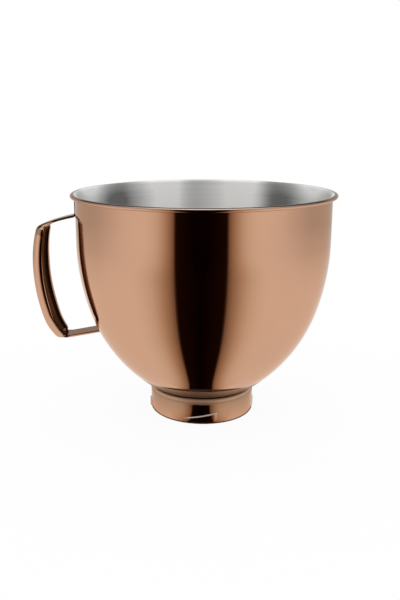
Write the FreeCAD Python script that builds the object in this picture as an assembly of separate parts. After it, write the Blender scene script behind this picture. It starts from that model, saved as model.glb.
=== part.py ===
import FreeCAD, Part
import math
import os

V = FreeCAD.Vector

# Sheet metal of the bowl and height of its flat bottom above the table
SHEET = 1.0
BASE_Z = 21.88
FLAT_R = 35.11

# Bowl profile above the flat bottom: arcs tangent to one another, then a straight wall
HEEL_R = 24.0
LOWER_R = 133.0
LOWER_TURN = 36.3
SIDE_R = 188.0
SIDE_TURN = 18.3
HEEL_TURN = 90.0 - SIDE_TURN - LOWER_TURN
STRAIGHT = 38.35

# Raised centre of the bottom
DIMPLE_RISE = 4.0
DIMPLE_RUN = 12.0
DIMPLE_GAP = 9.1

# Rolled bead of the rim, radii on the hollow side of the sheet
BEAD_INNER_R = 0.7
BEAD_INNER_TURN = 65.0
BEAD_CROWN_R = 3.0
BEAD_CROWN_TURN = 50.0
BEAD_OUTER_R = 0.45
BEAD_LIP = 2.35

# Foot ring, its wall and its seat set out from the edge of the flat bottom
RING_T = 1.2
RING_OUT = 10.09
RING_SEAT = 1.3
RING_BASE_R = 1.8
RING_TOP_R = 3.0
RING_FLANGE = 4.2

# Bayonet lugs pressed out of the foot ring
LUG_COUNT = 4
LUG_LOW = -18.0
LUG_HIGH = 15.0
LUG_RAMP = 3.6
LUG_BASE_Z = 3.3
LUG_LOW_Z = 5.4
LUG_HIGH_Z = 10.1
LUG_BEVEL = 0.9
LUG_LOW_OUT = 0.1
LUG_HIGH_OUT = 1.35

# Handle strap and its edges
STRAP_T = 2.0
EDGE_R = 3.0
EDGE_TURN = 12.0
BEND_R = 2.5
BEND_POINTS = 8

# Upper tab, below the top of the straight wall, and the arm that leaves it
TAB_DROP = 3.15
TAB_LENGTH = 12.55
ARM_SLOPE = 11.0
ARM_BOW_R = 150.0
ARM_BOW_TURN = 6.0
ARM_HALF_TOP = 9.0

# Lower arm and the tab that lies on the bowl
LOWER_BOW_R = 60.0
LOWER_BOW_TURN = 3.0
LOWER_TAB_TURN = 5.5
TAB_SEAT = 0.6
ARM_HALF_BOTTOM = 11.0

# Outer line of the grip, as tangent arcs from arm to arm
ARM_END_TURN = 5.4
TOP_CORNER_R = 5.0
TOP_CORNER_TURN = 53.0
GRIP_UPPER_R = 122.0
GRIP_UPPER_TURN = 14.6
GRIP_MIDDLE_R = 150.0
GRIP_MIDDLE_TURN = 19.0
GRIP_LOWER_R = 50.0
GRIP_LOWER_TURN = 20.0
BOTTOM_CORNER_R = 6.0
BOTTOM_CORNER_TURN = 51.0
LOWER_END_TURN = 8.0

# Width, side radius and depth of the grip
GRIP_HALF = 15.0
GRIP_R = 6.9
GRIP_DEPTH = 9.7
GRIP_END_DEPTH = 8.4
DEPTH_EASE = 36.0
CURL_EASE = 14.0
FLARE_TOP = 24.0
FLARE_BOTTOM = 34.0

# Hubs about which the sections fan, along and inwards from where each corner begins
TOP_HUB_ALONG = -5.1119
TOP_HUB_IN = 4.7393
BOTTOM_HUB_ALONG = 4.134
BOTTOM_HUB_IN = 8.766
HUB_R = 1.6
TOP_HOLD = -91.0
BOTTOM_HOLD = -105.0

# Spacing of the grip's sections
STEP_MIN = 1.1
STEP_MAX = 5.0


def turned(heading):
    a = math.radians(heading)
    return math.cos(a), math.sin(a)


def walk(start, heading, steps):
    """Follow a tangent chain of lines (length, 0) and arcs (radius, turn).

    A positive turn bends to the left. Returns the edges and the end state.
    """
    x, z = start
    edges = []
    for size, turn in steps:
        if turn == 0:
            cx, sx = turned(heading)
            nx, nz = x + size * cx, z + size * sx
            edges.append(Part.makeLine(V(x, 0, z), V(nx, 0, nz)))
        else:
            nx, nz = along((x, z), heading, size, turn)
            mx, mz = along((x, z), heading, size, turn / 2)
            edges.append(Part.Arc(V(x, 0, z), V(mx, 0, mz), V(nx, 0, nz)).toShape())
            heading += turn
        x, z = nx, nz
    return edges, (x, z), heading


def along(point, heading, radius, turn):
    """End of an arc that leaves the point with this heading and turns by this angle."""
    side = 1 if turn > 0 else -1
    c0, s0 = turned(heading)
    c1, s1 = turned(heading + turn)
    return point[0] + side * radius * (s1 - s0), point[1] + side * radius * (c0 - c1)


def offset_steps(steps, gap):
    """The same chain moved to its left by the gap."""
    moved = []
    for size, turn in steps:
        if turn > 0:
            moved.append((size - gap, turn))
        elif turn < 0:
            moved.append((size + gap, turn))
        else:
            moved.append((size, 0))
    return moved


def band(start, heading, steps, thickness):
    """Face of a sheet that follows the chain, with its thickness on the left."""
    near, near_end, _ = walk(start, heading, steps)
    c, s = turned(heading + 90)
    far_start = (start[0] + thickness * c, start[1] + thickness * s)
    far, far_end, _ = walk(far_start, heading, offset_steps(steps, thickness))
    cap_a = Part.makeLine(V(start[0], 0, start[1]), V(far_start[0], 0, far_start[1]))
    cap_b = Part.makeLine(V(near_end[0], 0, near_end[1]), V(far_end[0], 0, far_end[1]))
    wire = Part.Wire(Part.__sortEdges__(near + far + [cap_a, cap_b]))
    return Part.Face(wire)


def spun(face):
    return face.revolve(V(0, 0, 0), V(0, 0, 1), 360)


def bowl_frame():
    """Centre of the lower arc, centre of the heel, and the top end of the straight wall."""
    heel = (FLAT_R, BASE_Z + HEEL_R)
    place = along((FLAT_R, BASE_Z), 0.0, HEEL_R, HEEL_TURN)
    c, s = turned(HEEL_TURN + 90)
    lower = (place[0] + LOWER_R * c, place[1] + LOWER_R * s)
    place = along(place, HEEL_TURN, LOWER_R, LOWER_TURN)
    place = along(place, HEEL_TURN + LOWER_TURN, SIDE_R, SIDE_TURN)
    return lower, heel, (place[0], place[1] + STRAIGHT)


def ring_r():
    return FLAT_R + RING_OUT


def bowl_steps():
    """Chain of the outer surface from the axis out to the rolled lip."""
    lean = 2 * math.degrees(math.atan2(DIMPLE_RISE, DIMPLE_RUN))
    bend = DIMPLE_RUN / 2 / math.sin(math.radians(lean))
    return [
        (FLAT_R - DIMPLE_GAP - DIMPLE_RUN, 0), (bend, -lean), (bend, lean),
        (DIMPLE_GAP, 0),
        (HEEL_R, HEEL_TURN), (LOWER_R, LOWER_TURN), (SIDE_R, SIDE_TURN),
        (STRAIGHT, 0),
        (BEAD_INNER_R, -BEAD_INNER_TURN), (BEAD_CROWN_R, -BEAD_CROWN_TURN),
        (BEAD_OUTER_R, -(270.0 - BEAD_INNER_TURN - BEAD_CROWN_TURN)),
        (BEAD_LIP, 0),
    ]


def bowl_shell():
    """Deep-drawn bowl with a raised centre and an outward rolled rim."""
    return spun(band((0, BASE_Z + DIMPLE_RISE), 0, bowl_steps(), SHEET))


def bowl_envelope():
    """Everything inside the bowl's outer surface up to the top of its straight wall."""
    edges, top, _ = walk((0, BASE_Z + DIMPLE_RISE), 0, bowl_steps()[:8])
    start = V(0, 0, BASE_Z + DIMPLE_RISE)
    edges.append(Part.makeLine(V(top[0], 0, top[1]), V(0, 0, top[1])))
    edges.append(Part.makeLine(V(0, 0, top[1]), start))
    return spun(Part.Face(Part.Wire(Part.__sortEdges__(edges))))


def ring_band():
    """Ring section: flat base flange, upright wall, rounded shoulder, seat under the heel."""
    _, heel, _ = bowl_frame()
    shoulder_r = ring_r() - RING_TOP_R
    reach = HEEL_R + RING_TOP_R
    lean = math.degrees(math.asin((shoulder_r - heel[0]) / reach))
    shoulder_z = heel[1] - reach * math.cos(math.radians(lean))
    seat = lean - math.degrees(math.asin(RING_SEAT / HEEL_R))
    start = (ring_r() - RING_BASE_R - RING_FLANGE, 0)
    steps = [
        (RING_FLANGE, 0), (RING_BASE_R, 90.0), (shoulder_z - RING_BASE_R, 0),
        (RING_TOP_R, 90.0 + lean), (HEEL_R, -seat),
    ]
    return band(start, 0, steps, RING_T)


def lug_section(angle, out, top, inset):
    """Outline of a lug in the upright plane at this angle, bevelled at its upper edge."""
    a = math.radians(angle - 90.0)
    inner = ring_r() - 2 * RING_T
    wall = ring_r() - inset
    low = LUG_BASE_Z + inset / 2
    high = top - inset / 2
    points = [(inner, low), (wall + out, low), (wall + out, high - LUG_BEVEL), (wall, high), (inner, high)]
    corners = [V(r * math.cos(a), r * math.sin(a), z) for r, z in points]
    return Part.makePolygon(corners + [corners[0]])


def lug_body(inset):
    """One slanted lug in front of the ring, or the hollow behind it when inset."""
    middle = (LUG_LOW + LUG_HIGH) / 2
    middle_out = (LUG_LOW_OUT + LUG_HIGH_OUT) / 2
    middle_z = (LUG_LOW_Z + LUG_HIGH_Z) / 2
    stations = [
        (LUG_LOW, LUG_LOW_OUT, LUG_LOW_Z), (middle, middle_out, middle_z),
        (LUG_HIGH, LUG_HIGH_OUT, LUG_HIGH_Z),
    ]
    slope = Part.makeLoft([lug_section(*station, inset) for station in stations], True, False)
    end = (LUG_HIGH + LUG_RAMP, 0.0, LUG_HIGH_Z)
    ramp = Part.makeLoft([lug_section(*stations[2], inset), lug_section(*end, inset)], True, True)
    return slope.fuse(ramp)


def foot_ring():
    """Pressed ring under the bowl with four bayonet lugs and a turned-in base."""
    ring = spun(ring_band())
    lug = lug_body(0.0).cut(Part.makeCylinder(ring_r() - RING_T / 2, LUG_HIGH_Z + RING_T))
    hollow = lug_body(RING_T)
    spins = [FreeCAD.Rotation(V(0, 0, 1), i * 360.0 / LUG_COUNT) for i in range(LUG_COUNT)]
    places = [FreeCAD.Placement(V(0, 0, 0), spin).toMatrix() for spin in spins]
    for place in places:
        ring = ring.fuse(lug.transformGeometry(place))
    for place in places:
        ring = ring.cut(hollow.transformGeometry(place))
    return ring.removeSplitter()


def smooth(t):
    t = min(1.0, max(0.0, t))
    return t * t * (3 - 2 * t)


def lower_bend(point, heading):
    """Length of the lower arm and the turn of the bend that meets the tab on the bowl."""
    centre, _, _ = bowl_frame()
    c, s = turned(heading)
    left = turned(heading + 90)
    x, z = point[0] + BEND_R * left[0], point[1] + BEND_R * left[1]
    reach = LOWER_R + STRAP_T - TAB_SEAT + BEND_R
    dx, dz = x - centre[0], z - centre[1]
    b = dx * c + dz * s
    length = -b - math.sqrt(b * b - (dx * dx + dz * dz - reach * reach))
    hub_x, hub_z = x + length * c, z + length * s
    fall = math.degrees(math.atan2(centre[1] - hub_z, hub_x - centre[0]))
    return length, -(90.0 + fall) - heading


def strap_outline(point, heading, half, r, turn):
    """C-shaped section of the strap, its open side turned to the right of the heading."""
    c, s = turned(heading - 90.0)

    def at(depth, y):
        return V(-(point[0] + depth * c), y, point[1] + depth * s)

    def bend(radius, side):
        places = []
        for i in range(BEND_POINTS):
            a = math.radians(turn * i / (BEND_POINTS - 1))
            places.append(at(r - radius * math.cos(a), side * (half - r + radius * math.sin(a))))
        return places

    def curve(places):
        steps = [i / (BEND_POINTS - 1) for i in range(BEND_POINTS)]
        line = Part.BSplineCurve()
        line.interpolate(Points=places, Parameters=steps)
        return line.toShape()

    outer_a, outer_b = bend(r, -1), bend(r, 1)
    inner_a, inner_b = bend(r - STRAP_T, -1), bend(r - STRAP_T, 1)
    return Part.Wire([
        Part.makeLine(outer_a[0], outer_b[0]),
        curve(outer_b),
        Part.makeLine(outer_b[-1], inner_b[-1]),
        curve(inner_b[::-1]),
        Part.makeLine(inner_b[0], inner_a[0]),
        curve(inner_a),
        Part.makeLine(inner_a[-1], outer_a[-1]),
        curve(outer_a[::-1]),
    ])


def strap_run(point, heading, steps, half):
    """Solids of a plain strap that follows the chain, and the state at its end."""
    pieces = []
    for size, turn in steps:
        face = Part.Face(strap_outline(point, heading, half, EDGE_R, EDGE_TURN))
        if turn == 0:
            c, s = turned(heading)
            pieces.append(face.extrude(V(-size * c, 0, size * s)))
        else:
            c, s = turned(heading + (90 if turn > 0 else -90))
            hub = V(-(point[0] + size * c), 0, point[1] + size * s)
            pieces.append(face.revolve(hub, V(0, 1, 0), turn))
        _, point, heading = walk(point, heading, [(size, turn)])
    return pieces, point, heading


def curl_turn(r, depth):
    """Turn of a rounded side of this radius that brings its edge down to this depth."""
    if depth < r:
        return math.degrees(math.acos((r - depth) / (r - STRAP_T)))
    return math.degrees(math.acos(1 - depth / r))


def lean_to(hub, place):
    """Heading whose section plane passes through the hub."""
    a = math.degrees(math.atan2(hub[1] - place[1], hub[0] - place[0]))
    return (a - 360 if a > 0 else a) + 90


def grip_lean(place, heading, hubs):
    """Section heading: level below the upper corner, fanned about a hub at both corners."""
    if heading > TOP_HOLD:
        return max(TOP_HOLD, min(heading, lean_to(hubs[0], place)))
    if heading < BOTTOM_HOLD:
        return min(BOTTOM_HOLD, max(heading, lean_to(hubs[1], place)))
    return heading


def grip_steps():
    return [
        (ARM_BOW_R, -ARM_END_TURN), (TOP_CORNER_R, -TOP_CORNER_TURN),
        (GRIP_UPPER_R, -GRIP_UPPER_TURN), (GRIP_MIDDLE_R, -GRIP_MIDDLE_TURN),
        (GRIP_LOWER_R, -GRIP_LOWER_TURN), (BOTTOM_CORNER_R, -BOTTOM_CORNER_TURN),
        (LOWER_BOW_R, -LOWER_END_TURN),
    ]


def corner_hubs(point, heading):
    """Hubs of both corners of the grip that starts here."""
    steps = grip_steps()
    hubs = []
    for before, ahead, inwards in (
        (steps[:1], TOP_HUB_ALONG, TOP_HUB_IN), (steps[:5], BOTTOM_HUB_ALONG, BOTTOM_HUB_IN),
    ):
        _, (x, z), lean = walk(point, heading, before)
        c, s = turned(lean)
        hubs.append((x + ahead * c + inwards * s, z + ahead * s - inwards * c))
    return hubs


def grip_sections(point, heading):
    """Place, heading, half width, side radius and side turn of each section of the grip."""
    steps = grip_steps()
    hubs = corner_hubs(point, heading)
    spans = [abs(r * math.radians(turn)) for r, turn in steps]
    total = sum(spans)
    top = spans[0] + spans[1]
    bottom = spans[-1] + spans[-2] * 0.6
    runs = [0.0]
    while runs[-1] < total - STEP_MIN / 2:
        near = min(abs(runs[-1] - top), abs(total - runs[-1] - bottom))
        runs.append(runs[-1] + min(STEP_MAX, STEP_MIN + 0.2 * max(0.0, near - 5 * STEP_MIN)))
    runs = [run * total / runs[-1] for run in runs]
    sections = []
    for run in runs:
        place, lean, left = point, heading, run
        for (size, turn), span in zip(steps, spans):
            part = min(1.0, left / span)
            place = along(place, lean, size, part * turn) if part > 0 else place
            lean += part * turn
            left = max(0.0, left - span)
        lean = grip_lean(place, lean, hubs)
        inside = min(run - top, total - run - bottom)
        depth = GRIP_END_DEPTH + (GRIP_DEPTH - GRIP_END_DEPTH) * smooth(inside / DEPTH_EASE)
        c, s = turned(lean - 90)
        for hub in hubs:
            reach = (hub[0] - place[0]) * c + (hub[1] - place[1]) * s
            depth = min(depth, reach - HUB_R)
        ends = min(run, total - run)
        flat = EDGE_R - (EDGE_R - STRAP_T) * math.cos(math.radians(EDGE_TURN))
        depth = flat + (depth - flat) * smooth(ends / (top / 2))
        r = EDGE_R + (GRIP_R - EDGE_R) * smooth(ends / CURL_EASE)
        half = GRIP_HALF - (GRIP_HALF - ARM_HALF_TOP) * (1 - smooth(run / FLARE_TOP))
        half -= (GRIP_HALF - ARM_HALF_BOTTOM) * (1 - smooth((total - run) / FLARE_BOTTOM))
        sections.append((place, lean, half, r, curl_turn(r, depth)))
    return sections


def grip(point, heading):
    """Rounded grip whose sides curl in towards the bowl, fading out into both arms."""
    wires = [strap_outline(*section) for section in grip_sections(point, heading)]
    _, point, heading = walk(point, heading, grip_steps())
    return Part.makeLoft(wires, True, False, False, 2), point, heading


def handle():
    """Strap handle: upper tab, arm, rounded grip open to the bowl, arm, lower tab."""
    _, _, wall = bowl_frame()
    start = (math.sqrt(wall[0] ** 2 - ARM_HALF_TOP ** 2) + STRAP_T, wall[1] - TAB_DROP)
    top = [(TAB_LENGTH, 0), (BEND_R, 90.0 - ARM_SLOPE), (ARM_BOW_R, -ARM_BOW_TURN)]
    pieces, point, heading = strap_run(start, -90.0, top, ARM_HALF_TOP)
    middle, point, heading = grip(point, heading)
    bow = [(LOWER_BOW_R, -LOWER_BOW_TURN)]
    lower, point, heading = strap_run(point, heading, bow, ARM_HALF_BOTTOM)
    length, turn = lower_bend(point, heading)
    on_bowl = (LOWER_R + STRAP_T - TAB_SEAT, -LOWER_TAB_TURN)
    steps = [(length, 0), (BEND_R, turn), on_bowl]
    tail, _, _ = strap_run(point, heading, steps, ARM_HALF_BOTTOM)
    strap = middle.fuse(pieces + lower + tail).removeSplitter()
    return strap.cut(bowl_envelope())


os.makedirs("parts", exist_ok=True)
for name, build in (("bowl_shell", bowl_shell), ("foot_ring", foot_ring), ("handle", handle)):
    build().exportStep("parts/" + name + ".step")
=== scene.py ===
import math

import bpy
from mathutils import Matrix


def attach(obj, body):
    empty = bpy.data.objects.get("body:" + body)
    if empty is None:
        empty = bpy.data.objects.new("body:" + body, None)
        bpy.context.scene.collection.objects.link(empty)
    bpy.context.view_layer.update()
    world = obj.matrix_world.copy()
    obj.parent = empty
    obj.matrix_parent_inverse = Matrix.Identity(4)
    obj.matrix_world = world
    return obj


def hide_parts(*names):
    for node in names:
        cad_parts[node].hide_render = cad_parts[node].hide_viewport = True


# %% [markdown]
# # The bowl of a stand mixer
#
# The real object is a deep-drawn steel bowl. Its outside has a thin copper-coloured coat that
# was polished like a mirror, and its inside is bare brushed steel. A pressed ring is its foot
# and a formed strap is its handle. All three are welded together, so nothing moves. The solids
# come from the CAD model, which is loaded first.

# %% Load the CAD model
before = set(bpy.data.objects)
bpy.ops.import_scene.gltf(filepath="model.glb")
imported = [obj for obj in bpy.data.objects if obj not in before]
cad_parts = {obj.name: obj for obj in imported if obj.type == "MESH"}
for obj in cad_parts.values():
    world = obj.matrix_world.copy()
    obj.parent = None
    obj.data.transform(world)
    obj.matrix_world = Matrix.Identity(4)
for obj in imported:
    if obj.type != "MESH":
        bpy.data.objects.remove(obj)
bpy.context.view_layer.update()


# %% [markdown]
# A material in Blender is a graph of nodes. Written by hand it needs a line for every link, so
# two small helpers come first. `Value` wraps a socket, and the usual operators on it add Math
# nodes, so that a formula reads like a formula. `Graph` makes any other node in one call: its
# type, its settings, and what goes into its sockets. Geometry Nodes use the same two helpers.


# %% A socket that can stand in a formula
class Value:
    """A node's output that can be used in a formula."""

    def __init__(self, graph, socket):
        self.graph = graph
        self.socket = socket

    def __getitem__(self, key):
        return Value(self.graph, self.socket.node.outputs[key])

    def math(self, operation, *values):
        return self.graph.add("ShaderNodeMath", {"operation": operation}, dict(enumerate(values)))

    def __add__(self, other):
        return self.math("ADD", self, other)

    def __sub__(self, other):
        return self.math("SUBTRACT", self, other)

    def __rsub__(self, other):
        return self.math("SUBTRACT", other, self)

    def __mul__(self, other):
        return self.math("MULTIPLY", self, other)

    def __truediv__(self, other):
        return self.math("DIVIDE", self, other)

    def __rtruediv__(self, other):
        return self.math("DIVIDE", other, self)

    def __pow__(self, other):
        return self.math("POWER", self, other)

    def __gt__(self, other):
        return self.math("GREATER_THAN", self, other)

    def __lt__(self, other):
        return self.math("LESS_THAN", self, other)

    def __abs__(self):
        return self.math("ABSOLUTE", self)

    def floor(self):
        return self.math("FLOOR", self)

    def cos(self):
        return self.math("COSINE", self)

    def sin(self):
        return self.math("SINE", self)

    def arctan2(self, ahead):
        return self.math("ARCTAN2", self, ahead)

    __radd__ = __add__
    __rmul__ = __mul__


# %% A node tree that is filled one call at a time
class Graph:
    """A node tree that starts out empty."""

    def __init__(self, tree):
        self.tree = tree
        tree.nodes.clear()

    def add(self, kind, settings=None, inputs=None):
        node = self.tree.nodes.new(kind)
        for name, value in (settings or {}).items():
            if name == "stops":
                set_stops(node.color_ramp, value)
            else:
                setattr(node, name, value)
        for key, value in (inputs or {}).items():
            if isinstance(value, Value):
                self.tree.links.new(value.socket, node.inputs[key])
            else:
                node.inputs[key].default_value = value
        return Value(self, node.outputs[0]) if node.outputs else node


def set_stops(ramp, stops):
    """Give a colour ramp these stops, each with its place from 0 to 1 and its colour."""
    while len(ramp.elements) > 1:
        ramp.elements.remove(ramp.elements[-1])
    for i, (place, colour) in enumerate(stops):
        element = ramp.elements.new(place) if i else ramp.elements[0]
        element.position = place
        element.color = (*colour, 1.0)


# %% Helpers for ranges and colours
def rise(g, value, start, stop, first=0.0, last=1.0):
    """Goes from the first number to the last one while the value goes from start to stop."""
    return g.add("ShaderNodeMapRange", inputs={0: value, 1: start, 2: stop, 3: first, 4: last})


def soft_rise(g, value, start, stop):
    """Goes softly from 0 to 1 while the value goes from start to stop."""
    soft = {"interpolation_type": "SMOOTHSTEP"}
    return g.add("ShaderNodeMapRange", soft, {0: value, 1: start, 2: stop})


def scaled(g, colour, share):
    """The colour with only this share of its light."""
    return g.add("ShaderNodeVectorMath", {"operation": "SCALE"}, {0: colour, 3: share})


def blended(g, share, colour, other, how="MIX"):
    """The colour with this share of the other one."""
    settings = {"data_type": "RGBA", "blend_type": how}
    return g.add("ShaderNodeMix", settings, {0: share, 6: colour, 7: other})[2]


def linear(*srgb):
    """A colour as it is read off a picture, 0 to 255, in Blender's linear numbers."""
    shares = [v / 255 for v in srgb]
    return tuple(v / 12.92 if v <= 0.04045 else ((v + 0.055) / 1.055) ** 2.4 for v in shares)


COPPER = linear(205, 160, 131.5)
print("copper as read off a picture, in linear numbers:", [round(v, 3) for v in COPPER])

# %% [markdown]
# The polished copper coat. A metal has no colour of its own apart from what it does to its
# reflections, so the base colour is the tint of reflected white. Real polish isn't perfect: it
# leaves faint turning lines, and fingers and cloths change the gloss in soft patches. Both come
# from noise on the Object coordinates, which stay with the piece. The lines are noise that is
# stretched: it changes fast along the wall, by height and radius, and hardly at all around it.
#
# Close to the seam of bowl and foot a ramp by height darkens the coat, which is painted shade,
# and a Map Range makes it duller there, taking the polish away.

# %% Polished copper
DULL_ROUGHNESS = 0.38
DULL_METAL = 0.6
SHADED_UP_TO = 40.0


def turning_lines(g, place, fineness, detail):
    """Fine lines that run round the axis, as a turning tool or a polishing wheel leaves them."""
    xyz = g.add("ShaderNodeSeparateXYZ", inputs={0: place})
    radius = (xyz[0] ** 2 + xyz[1] ** 2) ** 0.5
    run = (xyz[2] + radius) * fineness
    stretched = g.add("ShaderNodeCombineXYZ", inputs={0: xyz[0] * 7, 1: xyz[1] * 7, 2: run})
    return g.add("ShaderNodeTexNoise", inputs={"Vector": stretched, "Scale": 1.0, "Detail": detail})


def height_in_mm(g, place):
    return g.add("ShaderNodeSeparateXYZ", inputs={0: place})[2] * 1000


def copper(name, colour, roughness, metallic=1.0, painted_shading=None, dull=None):
    """The coat's material. The painted shading multiplies its colour by height in millimetres, as
    painted light and shade, and dull says between which two heights the polish is lost."""
    material = bpy.data.materials.new(name)
    material.use_nodes = True
    g = Graph(material.node_tree)
    place = g.add("ShaderNodeTexCoord")["Object"]
    lines = turning_lines(g, place, 900, 2.0)
    broad = {"Vector": place, "Scale": 22.0, "Detail": 3.0, "Roughness": 0.6}
    patches = g.add("ShaderNodeTexNoise", inputs=broad)
    small = {"Vector": place, "Scale": 140.0, "Detail": 4.0, "Roughness": 0.55}
    wipes = g.add("ShaderNodeTexNoise", inputs=small)
    rough = roughness + (patches - 0.5) * 0.03 + (wipes - 0.5) * 0.015 + (lines - 0.5) * 0.01
    worn = tuple(c * 0.97 for c in colour)
    tone = g.add("ShaderNodeValToRGB", {"stops": [(0.3, worn), (0.7, colour)]}, {0: patches})
    # Painted light and shade: a ramp by height multiplies the colour.
    if painted_shading:
        stops = [(height / SHADED_UP_TO, shade) for height, shade in painted_shading]
        height = height_in_mm(g, place) / SHADED_UP_TO
        shade = g.add("ShaderNodeValToRGB", {"stops": stops}, {0: height})
        tone = blended(g, 1.0, tone, shade, "MULTIPLY")
    if dull:
        lost = rise(g, height_in_mm(g, place), *dull)
        rough = rough + lost * DULL_ROUGHNESS
        metallic = metallic - lost * (1 - DULL_METAL)
    bump = g.add("ShaderNodeBump", inputs={"Strength": 0.05, "Distance": 0.00002, "Height": lines})
    shader = g.add(
        "ShaderNodeBsdfPrincipled",
        inputs={
            "Base Color": tone, "Metallic": metallic, "Roughness": rough, "Normal": bump,
            "Specular Tint": (0.9, 0.8, 0.72, 1.0),
        },
    )
    g.add("ShaderNodeOutputMaterial", inputs={0: shader})
    return material


# %% [markdown]
# The copper finishes. One function makes them all, because they are the same coat in different
# states. The bowl's coat gets painted shade down to its seam with the foot. The foot's coat gets
# painted shade on its upper wall and along that seam, and a painted highlight in a pale band just
# below the seam. The upward faces of the foot's lugs get a pale, rough copper: a painted
# highlight. The inside of the handle's grip can't be polished, so it is dull, and its dark colour
# is partly an unpolished coat and partly painted shade. The same dark copper is painted shade
# under the bead and along the edges of the upper tab and arm. The cut edges of the grip are pale,
# partly where the coat is thin and partly as a painted highlight. The crown of the rim's bead is a
# little dull too.

# %% The copper finishes
# Painted shade on the bowl's coat, darker down towards its seam with the foot.
PAINTED_SHADE_NEAR_FOOT = [
    (24.0, (0.1, 0.1, 0.09)), (27.0, (0.3, 0.3, 0.27)), (33.0, (0.62, 0.62, 0.54)),
    (35.0, (0.7, 0.7, 0.62)), (36.2, (1.0, 1.0, 1.0)),
]
# Painted shade on the foot's upper wall and along its seam, and a painted highlight in a pale band just
# below the seam.
PAINTED_FOOT_LIGHT_AND_SHADE = [
    (0.0, (1.0, 1.0, 1.0)), (17.5, (0.64, 0.7, 0.7)), (19.6, (0.64, 0.74, 0.76)),
    (20.8, (1.2, 1.35, 1.4)), (22.0, (1.2, 1.35, 1.4)), (22.6, (0.16, 0.16, 0.16)),
]
copper_coat = copper("polished_copper", COPPER, 0.06)
bowl_coat = copper("polished_copper_bowl", COPPER, 0.06, painted_shading=PAINTED_SHADE_NEAR_FOOT, dull=(36.0, 34.8))
foot_coat = copper(
    "polished_copper_foot", (0.62, 0.33, 0.2), 0.08, painted_shading=PAINTED_FOOT_LIGHT_AND_SHADE, dull=(17.2, 18.6)
)
# A painted highlight on the upward faces of the foot's lugs.
lug_painted_highlight = copper("copper_with_painted_highlight", (1.0, 0.88, 0.8), 0.58, metallic=0.6)
# Painted shade: dark copper for the grip's inside, the groove under the bead and the upper tab's edges; its
# dullness is the coat's own.
painted_shade_copper = copper("dull_copper_painted_shade", (0.19, 0.11, 0.07), 0.3)
# Pale cut edges: partly a thin coat, partly a painted highlight.
pale_edge_and_highlight = copper("pale_edge_and_highlight", (0.8, 0.7, 0.63), 0.22)
worn_crown = copper("worn_crown", (0.6, 0.46, 0.38), 0.12)
copper_finishes = (copper_coat, bowl_coat, foot_coat, lug_painted_highlight, painted_shade_copper, pale_edge_and_highlight, worn_crown)
print("made", [finish.name for finish in copper_finishes])

# %% [markdown]
# Brushed steel inside. The sheet was brushed while the bowl turned, so the grooves run round it
# and the gloss is drawn out up and down the wall. The shader's Anisotropic value does that, and
# noise in fine lines adds the single grooves. Brushed rounds also show soft fans of light and
# dark that run from the middle outward; here they are painted reflections in the base colour, and
# a cosine of the angle round the axis gives them. Their number is even, so that the wider cosine,
# with half as many waves, also closes where the angle jumps from half a turn to minus half a turn.
# Noise that is stretched up and down moves the fans a little, so that no two are alike, and
# painted shade makes the wall darker at both sides, just below the rim.

# %% Painted fans of light and dark on brushed steel
FANS = 8
FAN_START = math.radians(93.0)
FAN_WANDER = 1.6


def painted_fans_of_light(g, xyz, pressed):
    """Painted reflections: narrow fans with wider ones laid over them, about 0 where dark and 1 where light.
    """
    round_axis = xyz[1].arctan2(xyz[0])
    phase = (round_axis - FAN_START) * FANS + (pressed - 0.5) * FAN_WANDER
    narrow = 0.5 - phase.cos() * 0.5
    wide = 0.5 + (phase / 2).cos() * 0.5
    return narrow * 0.68 + wide * 0.34


def painted_shade_below_rim(g, xyz):
    """Painted shade: near 1 on the upper wall at both sides of the bowl, 0 in front, behind and further
    down.
    """
    aside = xyz[0] ** 2 / (xyz[0] ** 2 + xyz[1] ** 2 + 1e-6)
    not_the_rim = rise(g, xyz[2], 0.178, 0.19, 1.0, 0.0)
    above_belly = rise(g, xyz[2], 0.1, 0.16)
    return aside * not_the_rim * above_belly


print(FANS, "fans, the first dark one at", round(math.degrees(FAN_START)), "degrees")


# %% Brushed steel
def brushed_steel(name, colour, roughness):
    material = bpy.data.materials.new(name)
    material.use_nodes = True
    g = Graph(material.node_tree)
    place = g.add("ShaderNodeTexCoord")["Object"]
    grooves = turning_lines(g, place, 1800, 3.0) * 0.6 + turning_lines(g, place, 420, 2.0) * 0.4
    upright = g.add("ShaderNodeMapping", inputs={"Vector": place, "Scale": (26.0, 26.0, 3.0)})
    pressed = g.add("ShaderNodeTexNoise", inputs={"Vector": upright, "Scale": 1.0, "Detail": 1.0})
    xyz = g.add("ShaderNodeSeparateXYZ", inputs={0: place})
    level = 0.2 + (grooves - 0.5) * 0.25 + (pressed - 0.5) * 0.2
    # Painted reflections and painted shade go into the steel's colour here.
    level = level + painted_fans_of_light(g, xyz, pressed) - painted_shade_below_rim(g, xyz) * 0.5
    dark = tuple(c * 0.17 for c in colour)
    tone = g.add("ShaderNodeValToRGB", {"stops": [(0.0, dark), (0.92, colour)]}, {0: level})
    rough = roughness + (pressed - 0.5) * 0.12 + (grooves - 0.5) * 0.1
    bump = g.add("ShaderNodeBump", inputs={"Strength": 0.12, "Distance": 0.00002, "Height": grooves})
    shader = g.add(
        "ShaderNodeBsdfPrincipled",
        inputs={
            "Base Color": tone, "Metallic": 0.15, "Roughness": rough, "Normal": bump,
            "Anisotropic": 0.8, "Anisotropic Rotation": 0.25,
        },
    )
    g.add("ShaderNodeOutputMaterial", inputs={0: shader})
    return material


bare_steel = brushed_steel("brushed_steel", (0.96, 0.955, 0.94), 0.5)
print("made", bare_steel.name, "from", len(bare_steel.node_tree.nodes), "nodes")

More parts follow.
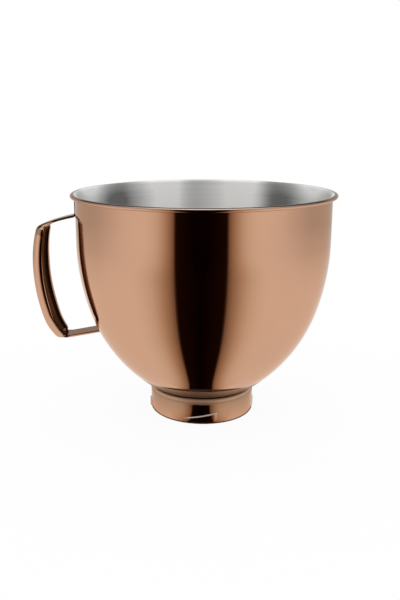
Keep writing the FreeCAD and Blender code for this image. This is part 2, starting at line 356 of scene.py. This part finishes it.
# %% [markdown]
# The shape of the sheet. The bowl was drawn to arcs that run smoothly into one another, so its
# section is a chain of steps: a line has a length and turns by 0, and an arc has a radius and a
# turn in degrees. `follow` walks along such a chain and marks points close enough for a mirror.
# The same chain, moved by the thickness of the sheet, is the inside. Sizes are in millimetres.


# %% Walk along lines and arcs
def turned(heading):
    a = math.radians(heading)
    return math.cos(a), math.sin(a)


def along(point, heading, radius, turn):
    """End of an arc that leaves the point with this heading and turns by this angle."""
    side = 1 if turn > 0 else -1
    c0, s0 = turned(heading)
    c1, s1 = turned(heading + turn)
    return point[0] + side * radius * (s1 - s0), point[1] + side * radius * (c0 - c1)


def follow(point, heading, steps, pitch, finest=6.0):
    """Points and headings along the chain, at most the pitch or this many degrees apart."""
    marks = [(point, heading)]
    for size, turn in steps:
        length = size * math.radians(abs(turn)) if turn else size
        count = max(1, math.ceil(length / pitch), math.ceil(abs(turn) / finest))
        for i in range(1, count + 1):
            if turn:
                marks.append((along(point, heading, size, turn * i / count), heading + turn * i / count))
            else:
                c, s = turned(heading)
                marks.append(((point[0] + size * c * i / count, point[1] + size * s * i / count), heading))
        point, heading = marks[-1]
    return marks


end, heading = follow((0, 0), 0, [(20, 0), (10, 90.0)], 2.0)[-1]
print("20 mm ahead and a left bend of radius 10 end at", [round(v, 3) for v in end])

# %% The section of the bowl, from the middle of the bottom over the bead and back
SHEET = 1.0
BOTTOM = (0, 25.88)
LOWER_R = 133.0
RAISED = [(14.01, 0), (10.0, -36.87), (10.0, 36.87), (9.1, 0)]
WALL = [(24.0, 35.4), (LOWER_R, 36.3), (188.0, 18.3), (36.6, 0)]
UNDER_BEAD = [(1.75, 0)]
BEAD = [(0.7, -65.0), (3.0, -50.0), (0.45, -155.0), (2.35, 0)]
BOWL_PITCH = 2.2


def from_bottom(steps):
    return follow(BOTTOM, 0, steps, BOWL_PITCH)


def beside(marks, gap):
    """The marks moved to the left by the gap."""
    moved = []
    for (x, z), heading in marks:
        c, s = turned(heading + 90)
        moved.append(((x + gap * c, z + gap * s), heading))
    return moved


outer = from_bottom(RAISED + WALL + UNDER_BEAD + BEAD)
inner = beside(outer, SHEET)
section = [point for point, _ in outer] + [point for point, _ in inner[::-1]]
print(len(section), "points in the section; the rim is", round(2 * max(x for x, _ in section), 1), "wide")

# %% [markdown]
# Where each finish starts. The section goes up the outside, round the bead and down the inside,
# so one row number is enough to say where a finish starts: the coat goes on until the next one.
# First comes the groove under the bead, darkened with painted shade, then the coated bead, its
# crown, and the inside.
# Rows on the way back are counted from the end, as the inside has the same steps as the outside.

# %% Rows where the finishes start
to_bead = RAISED + WALL + UNDER_BEAD
crown_end = to_bead + BEAD[:2] + [(BEAD[2][0], -45.0)]
inside_end = to_bead + BEAD[:1] + [(BEAD[1][0], -13.0)]
zones = {
    "Under the bead": (len(from_bottom(RAISED + WALL)) - 1, painted_shade_copper),
    "Bead": (len(outer) - 1, bowl_coat),
    "Crown": (len(section) - len(from_bottom(crown_end)), worn_crown),
    "Inside": (len(section) - len(from_bottom(inside_end)), bare_steel),
}
print("finishes start after rows", {name: start for name, (start, _) in zones.items()})

# %% [markdown]
# Turning the section. On a lathe each point of the section draws a circle, and Geometry Nodes
# can say just that: a flat grid has one row for each point of the section and one column for
# each step round, and every point of the grid moves to its row's radius and height at its
# column's angle. Merging closes the seam and both poles. The row's number is kept on the mesh,
# because the finishes need it after the grid has been closed.


# %% Rows of a grid become circles round the axis
def turned_grid(g, given):
    columns = given["Steps"] + 1
    grid = g.add("GeometryNodeMeshGrid", inputs={"Vertices X": given["Points"], "Vertices Y": columns})
    index = g.add("GeometryNodeInputIndex")
    row = (index / columns).floor()
    angle = (index - row * columns) / given["Steps"] * math.tau
    position = g.add("GeometryNodeInputPosition")
    found = g.add(
        "GeometryNodeSampleIndex", {"data_type": "FLOAT_VECTOR"},
        {"Geometry": given["Section"], "Value": position, "Index": row},
    )
    at = g.add("ShaderNodeSeparateXYZ", inputs={0: found})
    circle = {0: at[0] * angle.cos(), 1: at[0] * angle.sin(), 2: at[2]}
    spot = g.add("ShaderNodeCombineXYZ", inputs=circle)
    placed = g.add("GeometryNodeSetPosition", inputs={"Geometry": grid, "Position": spot})
    numbered = g.add(
        "GeometryNodeStoreNamedAttribute", {"data_type": "FLOAT", "domain": "POINT"},
        {"Geometry": placed, "Name": "row", "Value": row},
    )
    closed = g.add("GeometryNodeMergeByDistance", inputs={"Geometry": numbered, "Distance": 1e-6})
    return g.add("GeometryNodeRealizeInstances", inputs={"Geometry": closed})


# %% Finishes by row
def dressed_rows(g, given, mesh):
    """The coat everywhere, and over it the finish of each zone from its first row on."""
    mesh = g.add("GeometryNodeSetMaterial", inputs={"Geometry": mesh, "Material": given["Coat"]})
    row = g.add("GeometryNodeInputNamedAttribute", {"data_type": "FLOAT"}, {"Name": "row"})
    for zone in zones:
        beyond = row > given[zone + " starts"]
        finish = {"Geometry": mesh, "Selection": beyond, "Material": given[zone + " finish"]}
        mesh = g.add("GeometryNodeSetMaterial", inputs=finish)
    return mesh


# %% The node group with its named inputs
def turning_group():
    tree = bpy.data.node_groups.new("turn_round_axis", "GeometryNodeTree")
    sockets = [
        ("Section", "NodeSocketGeometry"), ("Points", "NodeSocketInt"), ("Steps", "NodeSocketInt"),
        ("Coat", "NodeSocketMaterial"),
    ]
    for zone in zones:
        sockets += [(zone + " starts", "NodeSocketInt"), (zone + " finish", "NodeSocketMaterial")]
    for name, kind in sockets:
        tree.interface.new_socket(name, in_out="INPUT", socket_type=kind)
    tree.interface.new_socket("Mesh", in_out="OUTPUT", socket_type="NodeSocketGeometry")
    g = Graph(tree)
    given = g.add("NodeGroupInput")
    g.add("NodeGroupOutput", inputs={0: dressed_rows(g, given, turned_grid(g, given))})
    return tree


lathe = turning_group()
print("the lathe asks for", [socket.name for socket in lathe.interface.items_tree])

# %% [markdown]
# The bowl itself. Its section is an object of points and edges, and a modifier with the lathe
# turns it. What the modifier gives then becomes the object's own plain mesh, since the export
# wants plain meshes. The volume inside the closed mesh is the volume of the metal, and it is
# above zero only if the faces look outward.


# %% The section as an object, on the lathe
def add_object(name, points, edges=(), faces=()):
    """An object from points in millimetres."""
    mesh = bpy.data.meshes.new(name)
    mesh.from_pydata([tuple(v / 1000 for v in point) for point in points], edges, faces)
    piece = bpy.data.objects.new(name, mesh)
    bpy.context.collection.objects.link(piece)
    return piece


links = [(i, i + 1) for i in range(len(section) - 1)]
bowl = add_object("bowl", [(x, 0, z) for x, z in section], links)
turning = bowl.modifiers.new("turning", "NODES")
turning.node_group = lathe
choices = {"Points": len(section), "Steps": 240, "Coat": bowl_coat}
for zone, (start, finish) in zones.items():
    choices[zone + " starts"] = start
    choices[zone + " finish"] = finish
for socket in lathe.interface.items_tree:
    if socket.name in choices:
        turning[socket.identifier] = choices[socket.name]
print("the lathe makes", choices["Steps"], "steps round the axis")


# %% The bowl as a plain mesh
SHARP_FROM = math.radians(32)


def settle(piece):
    """Turn what the modifiers give into the object's own plain mesh."""
    ready = piece.evaluated_get(bpy.context.evaluated_depsgraph_get())
    mesh = bpy.data.meshes.new_from_object(ready)
    piece.modifiers.clear()
    piece.data = mesh
    mesh.set_sharp_from_angle(angle=SHARP_FROM)


def enclosed(mesh):
    """Volume inside a closed mesh in cubic centimetres; negative if its faces look inward."""
    mesh.calc_loop_triangles()
    spots = [v.co for v in mesh.vertices]
    sixfold = sum(
        spots[a].dot(spots[b].cross(spots[c])) for a, b, c in (t.vertices for t in mesh.loop_triangles)
    )
    return sixfold / 6 * 1e6


settle(bowl)
print("bowl:", len(bowl.data.polygons), "faces,", round(enclosed(bowl.data), 2), "cubic cm of metal")
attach(bowl, "root")
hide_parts("bowl_shell")

# %% [markdown]
# The handle is one strap of sheet metal. Its section is a shallow C: a flat middle and two
# rounded sides, which curl in along the grip. A station says where the section stands, how it
# leans, its half width, the radius of its sides and how far they curl. Along the arms and bends
# a station stands square to the strap. At the grip's two tight corners the sections fan out
# round a hub, as the leaves of a fan do, so that the curled sides never cross.

# %% Sizes of the strap, from the upper tab to the lower one
STRAP_T = 2.0
EDGE_R = 3.0
EDGE_TURN = 12.0
BEND_R = 2.5
STRAP_PITCH = 1.5
ARM_HALF_TOP = 9.0
ARM_HALF_BOTTOM = 11.0
TAB_ON_R = 107.746
TAB_TOP_Z = 187.2
TAB_TOP = (math.sqrt(TAB_ON_R ** 2 - ARM_HALF_TOP ** 2) + STRAP_T, TAB_TOP_Z)
UPPER = [(12.55, 0), (BEND_R, 79.0), (150.0, -6.0)]
GRIP = [
    (150.0, -5.4), (5.0, -53.0), (122.0, -14.6), (150.0, -19.0), (50.0, -20.0), (6.0, -51.0),
    (60.0, -8.0),
]
LOWER = [(60.0, -3.0)]
spans = [size * math.radians(abs(turn)) for size, turn in GRIP]
print("the tab's top is at", [round(v, 2) for v in TAB_TOP], "and the grip is", round(sum(spans), 1), "long")

# %% How the grip's sections lean
TOP_HUB = (TAB_TOP[0] + 24.03, TAB_TOP[1] - 26.0)
BOTTOM_HUB = (TAB_TOP[0] + 11.43, TAB_TOP[1] - 119.4)
HUB_R = 1.6
TOP_HOLD = -91.0
BOTTOM_HOLD = -105.0


def lean_to(hub, place):
    a = math.degrees(math.atan2(hub[1] - place[1], hub[0] - place[0]))
    return (a - 360 if a > 0 else a) + 90


def fan(place, heading):
    """Level below the upper corner, fanned round a hub at both corners."""
    if heading > TOP_HOLD:
        return max(TOP_HOLD, min(heading, lean_to(TOP_HUB, place)))
    if heading < BOTTOM_HOLD:
        return min(BOTTOM_HOLD, max(heading, lean_to(BOTTOM_HUB, place)))
    return heading


print("the hubs are", round(math.dist(TOP_HUB, BOTTOM_HUB), 1), "mm apart")

# %% How the grip widens and curls
GRIP_HALF = 15.0
GRIP_R = 6.9
GRIP_DEPTH = 9.7
GRIP_END_DEPTH = 8.4
DEPTH_EASE = 36.0
CURL_EASE = 14.0
FLARE_TOP = 24.0
FLARE_BOTTOM = 34.0


def smooth(t):
    t = min(1.0, max(0.0, t))
    return t * t * (3 - 2 * t)


def curl_turn(r, depth):
    """Turn of a rounded side of this radius that brings its edge down to this depth."""
    if depth < r:
        return math.degrees(math.acos((r - depth) / (r - STRAP_T)))
    return math.degrees(math.acos(1 - depth / r))


def grip_half(run, left):
    """Half width, by the way run from the upper arm and the way left to the lower one."""
    wide = GRIP_HALF - (GRIP_HALF - ARM_HALF_TOP) * (1 - smooth(run / FLARE_TOP))
    return wide - (GRIP_HALF - ARM_HALF_BOTTOM) * (1 - smooth(left / FLARE_BOTTOM))


def grip_depth(place, lean, run, left):
    """How far the curled sides reach in towards the bowl."""
    top = spans[0] + spans[1]
    bottom = spans[-1] + spans[-2] * 0.6
    inside = min(run - top, left - bottom)
    depth = GRIP_END_DEPTH + (GRIP_DEPTH - GRIP_END_DEPTH) * smooth(inside / DEPTH_EASE)
    c, s = turned(lean - 90)
    for hub in (TOP_HUB, BOTTOM_HUB):
        depth = min(depth, (hub[0] - place[0]) * c + (hub[1] - place[1]) * s - HUB_R)
    flat = EDGE_R - (EDGE_R - STRAP_T) * math.cos(math.radians(EDGE_TURN))
    return flat + (depth - flat) * smooth(min(run, left) / (top / 2))


print("in mid-grip the sides curl by", round(curl_turn(GRIP_R, GRIP_DEPTH), 1), "degrees")

# %% Stations of the grip
GRIP_STEPS = 200


def grip_stations(start, heading):
    """Place, lean, half width, side radius and side turn at even steps along the grip."""
    stations = []
    for i in range(GRIP_STEPS + 1):
        run = sum(spans) * i / GRIP_STEPS
        place, lean, ahead = start, heading, run
        for (size, turn), span in zip(GRIP, spans):
            part = min(1.0, ahead / span)
            place = along(place, lean, size, part * turn) if part > 0 else place
            lean += part * turn
            ahead = max(0.0, ahead - span)
        lean = fan(place, lean)
        left = sum(spans) - run
        r = EDGE_R + (GRIP_R - EDGE_R) * smooth(min(run, left) / CURL_EASE)
        curl = curl_turn(r, grip_depth(place, lean, run, left))
        stations.append((place, lean, grip_half(run, left), r, curl))
    return stations


arm_end, arm_heading = follow(TAB_TOP, -90.0, UPPER, STRAP_PITCH)[-1]
grip = grip_stations(arm_end, arm_heading)
print(len(grip), "stations in the grip; its deepest curl turns by", round(max(g[-1] for g in grip), 1))

# %% The lower arm, which ends in a tab on the bowl
LOWER_TAB_TURN = 5.5
TAB_SEAT = 0.6


def lower_bend(point, heading, centre, reach):
    """Length of the lower arm and the turn of the bend that meets the tab on the bowl."""
    c, s = turned(heading)
    left = turned(heading + 90)
    x, z = point[0] + BEND_R * left[0], point[1] + BEND_R * left[1]
    dx, dz = x - centre[0], z - centre[1]
    b = dx * c + dz * s
    length = -b - math.sqrt(b * b - (dx * dx + dz * dz - reach * reach))
    fall = math.degrees(math.atan2(centre[1] - z - length * s, x + length * c - centre[0]))
    return length, -(90.0 + fall) - heading


heel_end, heel_heading = from_bottom(RAISED + WALL[:1])[-1]
c, s = turned(heel_heading + 90)
lower_centre = (heel_end[0] + LOWER_R * c, heel_end[1] + LOWER_R * s)
on_bowl = LOWER_R + STRAP_T - TAB_SEAT
grip_end, grip_heading = follow(arm_end, arm_heading, GRIP, STRAP_PITCH)[-1]
bow_end, bow_heading = follow(grip_end, grip_heading, LOWER, STRAP_PITCH)[-1]
arm, bend = lower_bend(bow_end, bow_heading, lower_centre, on_bowl + BEND_R)
print("the lower arm is", round(arm, 2), "long and its bend turns by", round(bend, 2), "degrees")


# %% Stations of the whole handle
def plain_stations(point, heading, steps, half):
    marks = follow(point, heading, steps, STRAP_PITCH)
    return [(place, lean, half, EDGE_R, EDGE_TURN) for place, lean in marks]


stations = plain_stations(TAB_TOP, -90.0, UPPER, ARM_HALF_TOP)
grip_start = len(stations)
stations += grip[1:]
grip_stop = len(stations)
tail = LOWER + [(arm, 0), (BEND_R, bend), (on_bowl, -LOWER_TAB_TURN)]
stations += plain_stations(grip_end, grip_heading, tail, ARM_HALF_BOTTOM)[1:]
print(len(stations), "stations; the strap ends at height", round(stations[-1][0][1], 2), "mm")

# %% [markdown]
# The skin of the strap. Every station gives a row of points on the outer face and one on the
# inner face, 2 mm further in. Together they are a loop round the strap, and faces between one
# loop and the next make the skin. Both tabs lie on a round wall, so a point that would be inside
# the bowl moves out to its surface.

# %% Loops of points round the strap
SIDE_STEPS = 14
FLAT_STEPS = 16
SQUARE_EASE = 30
FLAT_BOTTOM_R = 30


def wall_radius(z):
    """Radius of the bowl's outer surface at this height, above the flat bottom."""
    for ((r0, z0), _), ((r1, z1), _) in zip(outer, outer[1:]):
        if z0 <= z <= z1 and r0 > FLAT_BOTTOM_R:
            return r0 + (r1 - r0) * (z - z0) / (z1 - z0) if z1 > z0 else r0
    return 0.0


def on_or_outside_bowl(x, y, z):
    grow = max(1.0, wall_radius(z) / math.hypot(x, y))
    return x * grow, y * grow, z


def across(station, inward):
    """A row of points from one edge of the strap to the other, on its outer or inner face."""
    (px, pz), lean, half, r, turn = station
    c, s = turned(lean - 90)
    size = r - inward
    bends = [math.radians(turn) * i / SIDE_STEPS for i in range(SIDE_STEPS + 1)]
    side = [(r - size * math.cos(a), half - r + size * math.sin(a)) for a in bends]
    square = inward * math.sin(bends[-1]) * (1 - smooth((turn - EDGE_TURN) / SQUARE_EASE))
    side[-1] = (side[-1][0], side[-1][1] + square)
    flat = [(inward, (half - r) * (2 * i / FLAT_STEPS - 1)) for i in range(1, FLAT_STEPS)]
    row = [(d, -y) for d, y in side[::-1]] + flat + side
    return [on_or_outside_bowl(-(px + d * c), y, pz + d * s) for d, y in row]


outside_rows = [across(station, 0.0) for station in stations]
inside_rows = [across(station, STRAP_T) for station in stations]
loops = [a + b[::-1] for a, b in zip(outside_rows, inside_rows)]
width = len(outside_rows[0])
ring = 2 * width
print(len(loops), "loops of", ring, "points")

# %% The closed skin of the strap
faces = []
for i in range(len(loops) - 1):
    for j in range(ring):
        k = (j + 1) % ring
        faces.append((i * ring + j, i * ring + k, (i + 1) * ring + k, (i + 1) * ring + j))
last = (len(loops) - 1) * ring
for j in range(width - 1):
    faces.append((j, ring - 1 - j, ring - 2 - j, j + 1))
    faces.append((last + j, last + j + 1, last + ring - 2 - j, last + ring - 1 - j))
strap = add_object("strap_handle", [point for loop in loops for point in loop], (), faces)
print("strap:", len(faces), "faces,", 2 * (width - 1), "of them at its two ends")

# %% [markdown]
# The strap's finishes and its soft edges. In the grip the face that is turned to the bowl is dull
# and dark, partly an unpolished coat and partly painted shade, and the cut edges are pale, partly
# a thin coat and partly a painted highlight. Along the upper tab and arm the cut edges get the same
# dark copper, as painted shade. A face gets its finish by its place in the list, since the faces
# follow the stations. A small bevel then rounds the cut edges, because a real edge is never
# knife-sharp.

# %% Finishes of the strap
BARE_FROM = grip_start + 12
BARE_TO = grip_stop - 8
COATED, DARK_PAINTED_SHADE, AT_EDGE = range(3)
for finish in (copper_coat, painted_shade_copper, pale_edge_and_highlight):
    strap.data.materials.append(finish)
# The grip's inside and the upper edges get painted shade, the grip's cut edges a pale copper that is partly
# a painted highlight.
for i, face in enumerate(strap.data.polygons[:(len(loops) - 1) * ring]):
    at_station, j = divmod(i, ring)
    on_edge = j in (width - 1, ring - 1)
    if BARE_FROM <= at_station < BARE_TO and on_edge:
        face.material_index = AT_EDGE
    elif BARE_FROM <= at_station < BARE_TO and j >= width:
        face.material_index = DARK_PAINTED_SHADE
    elif on_edge and at_station < grip_start:
        face.material_index = DARK_PAINTED_SHADE
uncoated = sum(face.material_index != COATED for face in strap.data.polygons)
print("strap:", uncoated, "faces without the polished coat")

# %% Soft edges, and the strap as a plain mesh
soft_edge = strap.modifiers.new("soft_edge", "BEVEL")
soft_edge.width = 0.00025
soft_edge.segments = 2
soft_edge.limit_method = "ANGLE"
soft_edge.angle_limit = math.radians(50)
settle(strap)
print("strap:", len(strap.data.polygons), "faces,", round(enclosed(strap.data), 2), "cubic cm")
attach(strap, "root")
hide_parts("handle")

# %% [markdown]
# The foot ring keeps its CAD mesh, because its slanted lugs are exact there. It only gets its
# finish, which is a little darker than the bowl's. The faces that look upward on the lugs get a
# pale, rough copper, a painted highlight: a face's normal and place pick them.

# %% Dress the foot ring
RING_R = 0.0447
LUG_HEIGHT = 0.012
LOOKS_UP = 0.25
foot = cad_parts["foot_ring"]
foot.data.materials.clear()
foot.data.materials.append(foot_coat)
foot.data.materials.append(lug_painted_highlight)
# The upward faces of the lugs get the painted highlight.
for face in foot.data.polygons:
    x, y, z = face.center
    if face.normal.z > LOOKS_UP and z < LUG_HEIGHT and math.hypot(x, y) > RING_R:
        face.material_index = 1
highlit = sum(face.material_index for face in foot.data.polygons)
print("foot ring:", len(foot.data.polygons), "faces,", highlit, "of them rubbed")

# %% [markdown]
# The studio. A white world lights the bowl evenly from all sides, so colours render as they are
# written. Polished metal needs something to reflect, though, and the real studio had a dark gap
# between two white walls: it draws the black band down the bowl's front. The walls are warm and
# dim beside the gap, as paper is where it curves away from the lamps, and they lose some light
# far to the sides. Only glossy rays see all that, so the light on the bowl stays plain.

# %% The white walls with their dark gap
GAP_YAW = math.radians(0.23)
GAP_EDGE = math.radians(22.5)
SIDES_FROM = math.radians(55)
SIDES_TO = math.radians(110)
WALL_TONES = [
    (0, (0.003, 0.0, 0.0)), (20.5, (0.012, 0.004, 0.001)), (22.0, (0.05, 0.03, 0.02)),
    (23.4, (0.24, 0.16, 0.11)), (27.3, (0.41, 0.31, 0.22)), (31, (0.53, 0.42, 0.32)),
    (35, (0.65, 0.55, 0.45)), (40, (0.78, 0.71, 0.64)), (45, (0.87, 0.84, 0.79)),
    (52, (0.95, 0.94, 0.92)), (60, (1.0, 1.0, 1.0)),
]


def from_gap_line(g, place):
    """How far a place lies beside the gap's middle line, and how far along it."""
    at = g.add("ShaderNodeSeparateXYZ", inputs={0: place})
    beside_line = at[0] * math.cos(GAP_YAW) + at[1] * math.sin(GAP_YAW)
    along_line = at[0] * math.sin(GAP_YAW) - at[1] * math.cos(GAP_YAW)
    return beside_line, along_line


def walls(g, beside_line, along_line, loss, crisp=0.0):
    """Colour of the surroundings. The loss is the share of light that the far sides lose, and
    crisp is the share by which the warm edge of the gap is narrower."""
    angle = abs(beside_line.arctan2(along_line))
    stops = [(degrees / 180, tone) for degrees, tone in WALL_TONES]
    spread = angle + (angle - GAP_EDGE) * crisp
    tone = g.add("ShaderNodeValToRGB", {"stops": stops}, {0: spread / math.pi})
    return scaled(g, tone, 1 - soft_rise(g, angle, SIDES_FROM, SIDES_TO) * loss)


print("the walls are white from", WALL_TONES[-1][0], "degrees beside the gap's middle line")

# %% [markdown]
# The world has two faces. Camera and diffuse rays meet plain white. Glossy rays meet the walls,
# which get dimmer above the horizon, a back wall that is dark higher up, which draws a thin dark
# line along the bead, and a bright ceiling, which lights whatever looks straight up.

# %% The world
SIDE_LOSS = 0.35
BACK_DARKNESS = 0.82
CEILING = (1.4, 1.4, 1.4, 1.0)
WHITE = (1.0, 1.0, 1.0, 1.0)
world = bpy.data.worlds.new("studio")
bpy.context.scene.world = world
world.use_nodes = True
g = Graph(world.node_tree)
direction = g.add("ShaderNodeTexCoord")["Generated"]
height = g.add("ShaderNodeSeparateXYZ", inputs={0: direction})[2]
beside_line, along_line = from_gap_line(g, direction)
wall = scaled(g, walls(g, beside_line, along_line, SIDE_LOSS), rise(g, height, 0.0, 0.15, 1.0, 0.6))
flat_reach = (1.0001 - height ** 2) ** 0.5
behind = soft_rise(g, along_line / flat_reach, -0.35, -0.75)
backed = scaled(g, wall, 1 - behind * soft_rise(g, height, 0.31, 0.4) * BACK_DARKNESS)
studio = blended(g, soft_rise(g, height, 0.76, 0.96), backed, CEILING)
seen = g.add("ShaderNodeBackground", inputs={"Color": studio, "Strength": 1.0})
white = g.add("ShaderNodeBackground", inputs={"Color": WHITE, "Strength": 1.0})
glossy = g.add("ShaderNodeLightPath")["Is Glossy Ray"]
shown = g.add("ShaderNodeMixShader", inputs={0: glossy, 1: white, 2: seen})
g.add("ShaderNodeOutputWorld", inputs={0: shown})
print("world", world.name, "of", len(world.node_tree.nodes), "nodes")

# %% [markdown]
# The floor is white paper. The camera sees it nearly all plain white, and a small share of true
# shading keeps the bowl's soft shadow. In the mirror of the bowl the gap goes on across the
# floor, because the lower half of the bowl's wall mirrors the floor and not the studio's walls.
# Near the foot the gap keeps a width of its own, so the black band stays broad down to the foot.
# The floor under the foot is dark in the mirror, because no light gets there.

# %% What the bowl mirrors of the floor
FLOOR_HALF = 8000.0
GAP_ENDS = 0.045
GAP_BLUNT = 0.0325
UNDER_FOOT = (0.07, 0.06, 0.055, 1.0)


def mirrored_floor(g, place):
    """Colour of the floor as glossy rays meet it, by its place in metres."""
    beside_line, along_line = from_gap_line(g, place)
    along_line = along_line - GAP_ENDS
    blunt = (along_line ** 2 + GAP_BLUNT ** 2) ** 0.5 - abs(along_line)
    far = (beside_line ** 2 + along_line ** 2) ** 0.5
    loss = rise(g, far, 0.35, 1.2, 0.0, SIDE_LOSS)
    crisp = rise(g, far, 0.45, 0.95, 0.0, 0.45)
    tone = walls(g, beside_line, along_line + blunt, loss, crisp)
    from_axis = g.add("ShaderNodeVectorMath", {"operation": "LENGTH"}, {0: place})["Value"]
    return blended(g, rise(g, from_axis, 0.0465, 0.049), UNDER_FOOT, tone)


print("the gap ends", round(GAP_ENDS * 1000), "mm in front of the bowl's axis")

# %% The floor
SEEN_WHITE = 0.94
corners = [(x * FLOOR_HALF, y * FLOOR_HALF, 0) for x, y in ((-1, -1), (1, -1), (1, 1), (-1, 1))]
floor = add_object("floor", corners, (), [(0, 1, 2, 3)])
paper = bpy.data.materials.new("floor_paper")
paper.use_nodes = True
g = Graph(paper.node_tree)
mirrored = mirrored_floor(g, g.add("ShaderNodeTexCoord")["Object"])
seen = g.add("ShaderNodeEmission", inputs={"Color": mirrored, "Strength": 1.0})
lit = g.add("ShaderNodeBsdfDiffuse", inputs={"Color": WHITE})
pale = g.add("ShaderNodeEmission", inputs={"Color": WHITE, "Strength": 1.0})
rays = g.add("ShaderNodeLightPath")
shadowed = g.add("ShaderNodeMixShader", inputs={0: rays["Is Camera Ray"] * SEEN_WHITE, 1: lit, 2: pale})
top = g.add("ShaderNodeMixShader", inputs={0: rays["Is Glossy Ray"], 1: shadowed, 2: seen})
g.add("ShaderNodeOutputMaterial", inputs={0: top})
floor.data.materials.append(paper)
print("floor of", [round(side) for side in floor.dimensions[:2]], "m with the material", paper.name)

# %% [markdown]
# The camera stands where the photograph was taken from: its place and tilt follow from the rim's
# ellipse, the foot and the upright wall. The photograph was cropped, so the point straight ahead
# of the lens isn't in its middle, and the shift moves the frame in the same way.

# %% The camera
PHOTO_WIDTH = 400
PHOTO_HEIGHT = 600
FOCAL_LENGTH_PX = 731.255
STRAIGHT_AHEAD_PX = (168.02, 286.81)
SENSOR = 36
CAMERA_YAW = math.radians(4.0)
CAMERA_PLACE = (-0.029869, -0.620, 0.258958)
CAMERA_DOWN = 0.236635
CAMERA_ROLL = -0.0045665
camera_data = bpy.data.cameras.new("camera")
camera = bpy.data.objects.new("camera", camera_data)
bpy.context.collection.objects.link(camera)
bpy.context.scene.camera = camera
camera_data.lens = FOCAL_LENGTH_PX * SENSOR / PHOTO_HEIGHT
camera_data.shift_x = (PHOTO_WIDTH / 2 - STRAIGHT_AHEAD_PX[0]) / PHOTO_HEIGHT
camera_data.shift_y = (STRAIGHT_AHEAD_PX[1] - PHOTO_HEIGHT / 2) / PHOTO_HEIGHT
place = Matrix.Rotation(CAMERA_YAW, 4, "Z") @ Matrix.Translation(CAMERA_PLACE)
tilt = Matrix.Rotation(math.pi / 2 - CAMERA_DOWN, 4, "X")
roll = Matrix.Rotation(CAMERA_ROLL, 4, "Z")
camera.matrix_world = place @ tilt @ roll
bpy.context.scene.view_settings.view_transform = "Standard"
print("camera at", [round(v, 3) for v in camera.matrix_world.translation])
